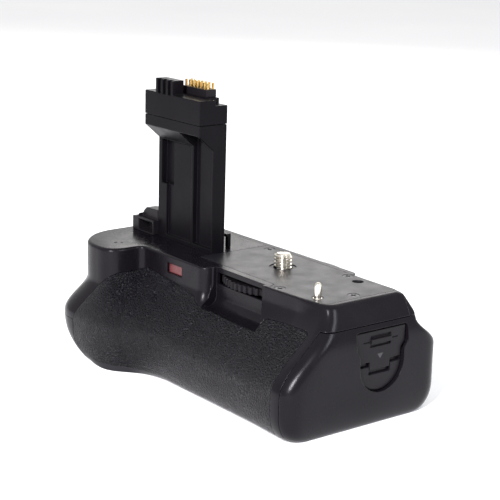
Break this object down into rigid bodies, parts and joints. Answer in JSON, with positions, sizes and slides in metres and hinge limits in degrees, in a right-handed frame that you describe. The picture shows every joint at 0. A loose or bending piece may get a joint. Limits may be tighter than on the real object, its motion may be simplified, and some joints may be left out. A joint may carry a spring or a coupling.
{
  "type": "camera battery grip",
  "caption": "Vertical battery grip that screws under a camera, with a contact tower, a pull-out battery magazine with a sprung latch, a toothed attachment wheel and rear controls.",
  "frame": {"origin": "axis of the attachment screw, on the plane the camera sits on", "axes": "+X towards the magazine's end cap, +Y towards the viewer, +Z towards the camera"},
  "size_m": [0.1378, 0.0769, 0.1045],
  "materials": {
    "shell_plastic": "satin black moulded plastic",
    "plate_plastic": "satin black, smoother",
    "grip_rubber": "fine pebbled black rubber",
    "tower_plastic": "satin black",
    "control_plastic": "fine satin black",
    "inner_plastic": "plain moulded",
    "red_filter": "dull red infrared filter",
    "sensor": "black epoxy",
    "nickel": "turned nickel",
    "dark_screw": "black oxide",
    "gold": "gold plated",
    "spring_steel": "bright",
    "circuit_board": "green solder mask",
    "ribbon": "amber film"
  },
  "bodies": {
    "body": {"front_shell": "shell_plastic", "rear_shell": "shell_plastic", "nose_cover": "shell_plastic", "bottom_plate": "plate_plastic", "top_plate": "plate_plastic", "front_grip_rubber": "grip_rubber", "rear_thumb_rubber": "grip_rubber", "infrared_window": "red_filter", "infrared_receiver": "sensor", "door_holder": "control_plastic", "door_catch": "control_plastic", "tower_front": "tower_plastic", "tower_back_cover": "tower_plastic", "tower_head": "tower_plastic", "contact_block": "control_plastic", "contact_pins": "gold", "tower_ribbon_cable": "ribbon", "wheel_washer": "spring_steel", "screw_collar": "control_plastic", "locating_pin": "nickel", "locating_pin_bush": "control_plastic", "top_plate_screws": "dark_screw", "bottom_plate_screws": "dark_screw", "tripod_socket": "nickel", "bay_liner": "inner_plastic", "bay_contacts": "gold", "main_board": "circuit_board", "button_board": "circuit_board", "shutter_ring": "control_plastic", "shutter_switch": "spring_steel", "dial_axle": "spring_steel", "rear_button_switches": "spring_steel"},
    "magazine": {"magazine_tray": "inner_plastic", "end_cap": "shell_plastic", "end_cap_screws": "spring_steel", "pack_contacts": "gold", "latch_tab": "control_plastic", "latch_spring": "spring_steel"},
    "latch": {"latch_slider": "control_plastic"},
    "wheel": {"attachment_screw": "nickel", "thumbwheel": "control_plastic"},
    "shutter": {"shutter_button": "control_plastic"},
    "dial": {"control_dial": "control_plastic"},
    "af_point": {"af_point_button": "control_plastic"},
    "ae_lock": {"ae_lock_button": "control_plastic"},
    "exposure": {"exposure_button": "control_plastic"},
    "power": {"power_switch": "control_plastic"}
  },
  "joints": [
    {"name": "magazine_slide", "type": "slide", "parent": "body", "child": "magazine", "axis": [1, 0, 0], "range_m": [0, 0.11]},
    {"name": "latch_slide", "type": "slide", "parent": "magazine", "child": "latch", "axis": [0, 0, -1], "range_m": [0, 0.0015], "stiffness_N_per_m": 300, "springref_m": -0.001, "deforming": ["latch_spring"]},
    {"name": "wheel_spin", "type": "hinge", "parent": "body", "child": "wheel", "pos_m": [0, 0, 0], "axis": [0, 0, 1], "continuous": true},
    {"name": "shutter_press", "type": "slide", "parent": "body", "child": "shutter", "axis": [0.9135, 0, 0.4067], "range_m": [0, 0.0012], "stiffness_N_per_m": 400, "springref_m": -0.0005},
    {"name": "dial_spin", "type": "hinge", "parent": "body", "child": "dial", "pos_m": [-0.075, 0.006, -0.0353], "axis": [0, 0, 1], "continuous": true},
    {"name": "af_point_press", "type": "slide", "parent": "body", "child": "af_point", "axis": [0, -1, 0], "range_m": [0, 0.0008], "stiffness_N_per_m": 400, "springref_m": -0.0005},
    {"name": "ae_lock_press", "type": "slide", "parent": "body", "child": "ae_lock", "axis": [0, -1, 0], "range_m": [0, 0.0008], "stiffness_N_per_m": 400, "springref_m": -0.0005},
    {"name": "exposure_press", "type": "slide", "parent": "body", "child": "exposure", "axis": [0, -1, 0], "range_m": [0, 0.0008], "stiffness_N_per_m": 400, "springref_m": -0.0005},
    {"name": "power_slide", "type": "slide", "parent": "body", "child": "power", "axis": [1, 0, 0], "range_m": [0, 0.004]}
  ]
}
